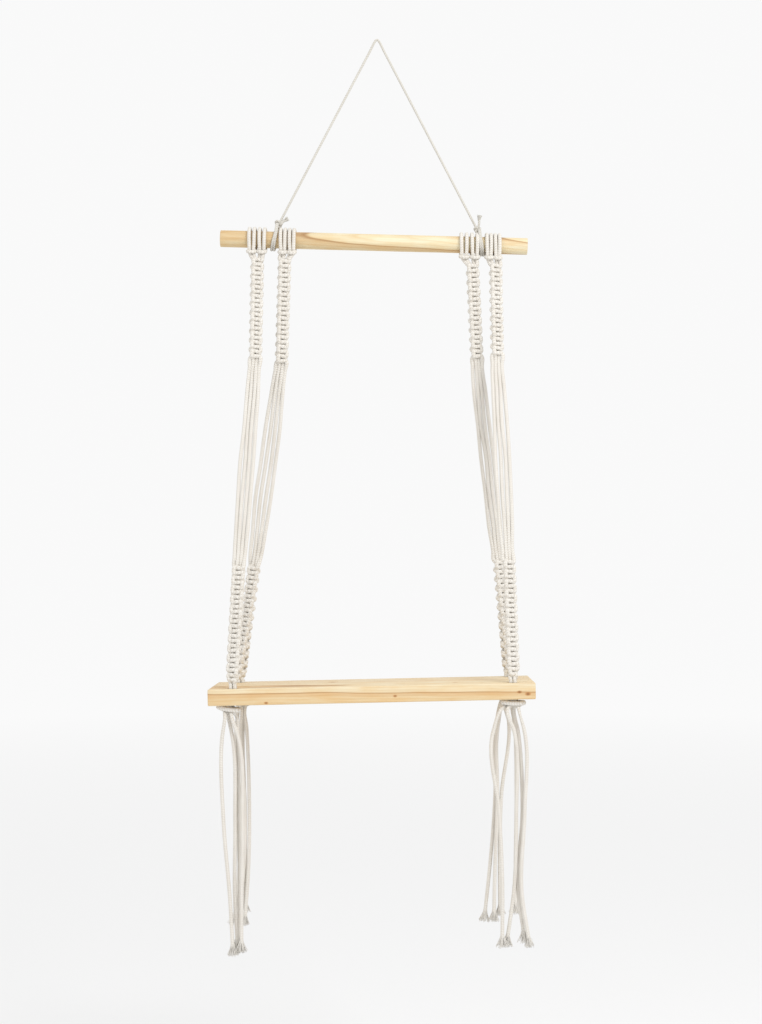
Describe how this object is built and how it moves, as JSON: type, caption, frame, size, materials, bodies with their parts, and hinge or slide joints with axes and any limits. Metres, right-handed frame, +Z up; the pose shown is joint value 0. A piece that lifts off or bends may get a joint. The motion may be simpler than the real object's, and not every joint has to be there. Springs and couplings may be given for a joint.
{
  "type": "macrame plant shelf with a wooden dowel and a wooden board",
  "caption": "Wall-hung macrame plant shelf: knotted cotton cord arms hang from a round wooden dowel and carry a pine board, with cut cord ends below it.",
  "frame": {"origin": "the point where the hanger's twine goes over its nail, at the top of the object", "axes": "+X to the right, +Y into the wall, +Z up. The wall's face is the plane Y = 5 mm, which the board's back edge rests on."},
  "size_m": [0.3582, 0.12, 1.0352],
  "materials": {
    "pine_dowel": "sanded, unvarnished",
    "pine_board": "planed, unvarnished",
    "cotton_cord": "soft braided cotton, matt",
    "hanger_twine": "thin two-ply cotton twine, matt"
  },
  "bodies": {
    "root": {"hanging_rod": "pine_dowel", "shelf_board": "pine_board", "hanger_cord": "hanger_twine", "arm_front_left": "cotton_cord", "arm_front_right": "cotton_cord", "arm_back_left": "cotton_cord", "arm_back_right": "cotton_cord", "tassel_front_left": "cotton_cord", "tassel_front_right": "cotton_cord", "tassel_back_left": "cotton_cord", "tassel_back_right": "cotton_cord"}
  },
  "joints": []
}
